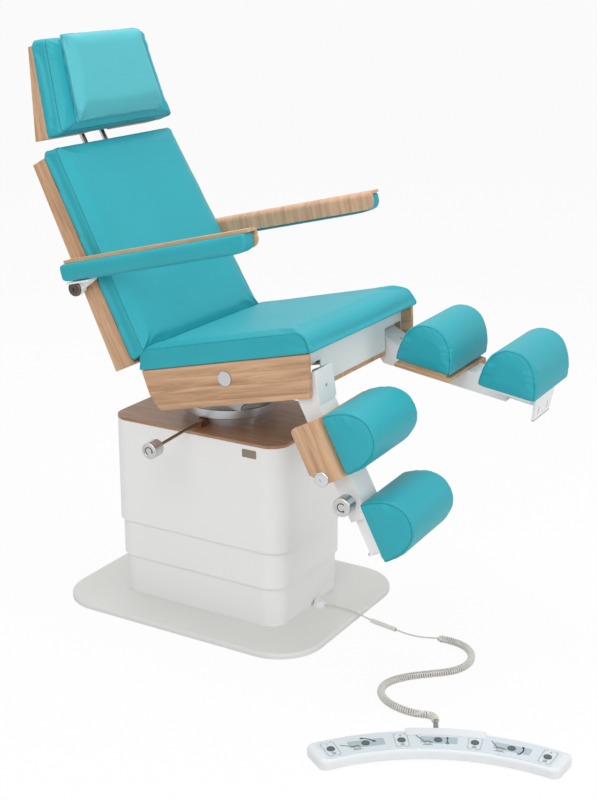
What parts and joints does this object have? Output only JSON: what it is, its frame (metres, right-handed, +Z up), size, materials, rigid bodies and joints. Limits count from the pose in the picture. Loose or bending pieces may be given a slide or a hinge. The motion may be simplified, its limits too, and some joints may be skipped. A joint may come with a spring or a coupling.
{
  "type": "podiatry chair",
  "caption": "Electric podiatry treatment chair on a telescopic column, with reclining back, fold-up arm rests, separate leg rests, and a curved foot control on a curly lead.",
  "frame": {"origin": "floor point under the swivel axis, at the middle of the base plate underside", "axes": "+Z up; +X to the front, towards the leg rests; +Y to the sitter's left"},
  "size_m": [1.6468, 1.0425, 1.555],
  "materials": {
    "white_enamel": "satin powder coat",
    "dark_board": "matt brown timber laminate",
    "oak": "matt oak veneer",
    "upholstery": "turquoise leatherette",
    "bare_steel": "turned",
    "black_steel": "matt black",
    "copper_steel": "dull bronze",
    "chrome": "polished",
    "grey_plastic": "textured",
    "white_plastic": "satin moulded",
    "cord_plastic": "matt grey",
    "sole_rubber": "matt"
  },
  "bodies": {
    "base": {"base_plate": "white_enamel", "column_casing_lower": "white_enamel", "lift_tube_outer": "bare_steel", "lift_drive": "black_steel", "lead_gland": "cord_plastic", "lead_straight": "cord_plastic", "lead_sleeve": "cord_plastic", "lead_coil": "cord_plastic", "lead_relief": "cord_plastic", "foot_housing": "white_plastic", "foot_sole": "sole_rubber"},
    "column_middle": {"column_casing_middle": "white_enamel", "lift_tube_middle": "bare_steel"},
    "column_top": {"column_casing_top": "white_enamel", "column_top_board": "dark_board", "lift_tube_inner": "bare_steel", "swivel_flange": "bare_steel", "brake_clevis": "copper_steel"},
    "turntable": {"swivel_ring": "bare_steel", "seat_support": "black_steel"},
    "brake": {"brake_handle": "bare_steel"},
    "seat": {"seat_shell": "oak", "seat_front_panel": "white_enamel", "seat_frame": "black_steel", "seat_cushion": "upholstery", "seat_axle": "bare_steel", "back_drive": "black_steel"},
    "back": {"back_shell": "oak", "back_frame": "black_steel", "back_cushion": "upholstery"},
    "head_carrier": {"head_rods": "chrome"},
    "head": {"head_shell": "oak", "head_mount": "chrome", "head_cushion": "upholstery", "head_pillow": "upholstery"},
    "foot_key_1": {"foot_button_1": "grey_plastic"},
    "foot_key_2": {"foot_button_2": "grey_plastic"},
    "foot_key_3": {"foot_button_3": "grey_plastic"},
    "foot_key_4": {"foot_button_4": "grey_plastic"},
    "foot_key_5": {"foot_button_5": "grey_plastic"},
    "foot_key_6": {"foot_button_6": "grey_plastic"},
    "foot_key_7": {"foot_button_7": "grey_plastic"},
    "arm_near": {"arm_bracket_near": "white_enamel", "arm_shell_near": "oak", "arm_pad_near": "upholstery"},
    "leg_near": {"leg_arm_near": "white_enamel", "leg_shell_near": "oak", "leg_pad_upper_near": "upholstery"},
    "calf_slide_near": {"leg_slide_near": "white_enamel", "leg_pad_lower_near": "upholstery"},
    "clamp_near": {"leg_knob_near": "bare_steel"},
    "arm_far": {"arm_bracket_far": "white_enamel", "arm_shell_far": "oak", "arm_pad_far": "upholstery"},
    "leg_far": {"leg_arm_far": "white_enamel", "leg_shell_far": "oak", "leg_pad_upper_far": "upholstery"},
    "calf_slide_far": {"leg_slide_far": "white_enamel", "leg_pad_lower_far": "upholstery"},
    "clamp_far": {"leg_knob_far": "bare_steel"}
  },
  "joints": [
    {"name": "lift_upper_stage", "type": "slide", "parent": "base", "child": "column_top", "axis": [0, 0, 1], "range_m": [-0.15, 0.2]},
    {"name": "lift_middle_stage", "type": "slide", "parent": "base", "child": "column_middle", "axis": [0, 0, 1], "range_m": [-0.075, 0.1]},
    {"name": "swivel", "type": "hinge", "parent": "column_top", "child": "turntable", "pos_m": [0, 0, 0.538], "axis": [0, 0, 1], "range_deg": [-120, 120]},
    {"name": "swivel_brake_turn", "type": "hinge", "parent": "column_top", "child": "brake", "pos_m": [-0.00253, -0.14498, 0.552], "axis": [-0.0174, -0.9974, -0.0698], "range_deg": [-180, 180]},
    {"name": "seat_tilt", "type": "hinge", "parent": "turntable", "child": "seat", "pos_m": [0.17525, 0, 0.73788], "axis": [0, 1, 0], "range_deg": [-2, 13.4]},
    {"name": "back_recline", "type": "hinge", "parent": "seat", "child": "back", "pos_m": [-0.09918, 0, 0.72369], "axis": [0, 1, 0], "range_deg": [-58, 3]},
    {"name": "head_slide", "type": "slide", "parent": "back", "child": "head_carrier", "axis": [-0.4924, 0, 0.8704], "range_m": [-0.01, 0.08]},
    {"name": "head_tilt", "type": "hinge", "parent": "head_carrier", "child": "head", "pos_m": [-0.45672, 0, 1.29879], "axis": [0, 1, 0], "range_deg": [-20, 12]},
    {"name": "arm_near_fold", "type": "hinge", "parent": "back", "child": "arm_near", "pos_m": [-0.262, -0.292, 0.922], "axis": [0, 1, 0], "range_deg": [-75, 30]},
    {"name": "arm_far_fold", "type": "hinge", "parent": "back", "child": "arm_far", "pos_m": [-0.262, 0.292, 0.922], "axis": [0, 1, 0], "range_deg": [-75, 30]},
    {"name": "leg_near_lift", "type": "hinge", "parent": "seat", "child": "leg_near", "pos_m": [0.411, -0.223, 0.732], "axis": [-0.0401, 0.9992, 0], "range_deg": [-68, 12]},
    {"name": "calf_near_extend", "type": "slide", "parent": "leg_near", "child": "calf_slide_near", "axis": [0.4536, 0.0182, -0.891], "range_m": [-0.07, 0.06]},
    {"name": "clamp_near_turn", "type": "hinge", "parent": "leg_near", "child": "clamp_near", "pos_m": [0.52761, -0.25835, 0.47527], "axis": [0.0401, -0.9992, 0], "range_deg": [-180, 180]},
    {"name": "leg_far_lift", "type": "hinge", "parent": "seat", "child": "leg_far", "pos_m": [0.411, 0.223, 0.732], "axis": [-0.0297, 0.9996, 0], "range_deg": [-13.7, 66.3]},
    {"name": "calf_far_extend", "type": "slide", "parent": "leg_far", "child": "calf_slide_far", "axis": [0.9881, 0.0293, -0.1513], "range_m": [-0.07, 0.06]},
    {"name": "clamp_far_turn", "type": "hinge", "parent": "leg_far", "child": "clamp_far", "pos_m": [0.68534, 0.27116, 0.67566], "axis": [-0.0297, 0.9996, 0], "range_deg": [-180, 180]},
    {"name": "foot_key_1_press", "type": "slide", "parent": "base", "child": "foot_key_1", "axis": [0, 0, 1], "range_m": [-0.002, 0], "stiffness_N_per_m": 900, "springref_m": 0.0006},
    {"name": "foot_key_2_press", "type": "slide", "parent": "base", "child": "foot_key_2", "axis": [0, 0, 1], "range_m": [-0.002, 0], "stiffness_N_per_m": 900, "springref_m": 0.0006},
    {"name": "foot_key_3_press", "type": "slide", "parent": "base", "child": "foot_key_3", "axis": [0, 0, 1], "range_m": [-0.002, 0], "stiffness_N_per_m": 900, "springref_m": 0.0006},
    {"name": "foot_key_4_press", "type": "slide", "parent": "base", "child": "foot_key_4", "axis": [0, 0, 1], "range_m": [-0.002, 0], "stiffness_N_per_m": 900, "springref_m": 0.0006},
    {"name": "foot_key_5_press", "type": "slide", "parent": "base", "child": "foot_key_5", "axis": [0, 0, 1], "range_m": [-0.002, 0], "stiffness_N_per_m": 900, "springref_m": 0.0006},
    {"name": "foot_key_6_press", "type": "slide", "parent": "base", "child": "foot_key_6", "axis": [0, 0, 1], "range_m": [-0.002, 0], "stiffness_N_per_m": 900, "springref_m": 0.0006},
    {"name": "foot_key_7_press", "type": "slide", "parent": "base", "child": "foot_key_7", "axis": [0, 0, 1], "range_m": [-0.002, 0], "stiffness_N_per_m": 900, "springref_m": 0.0006}
  ],
  "couplings": [
    {"joint": "lift_middle_stage", "follows": "lift_upper_stage", "ratio": 0.5}
  ]
}
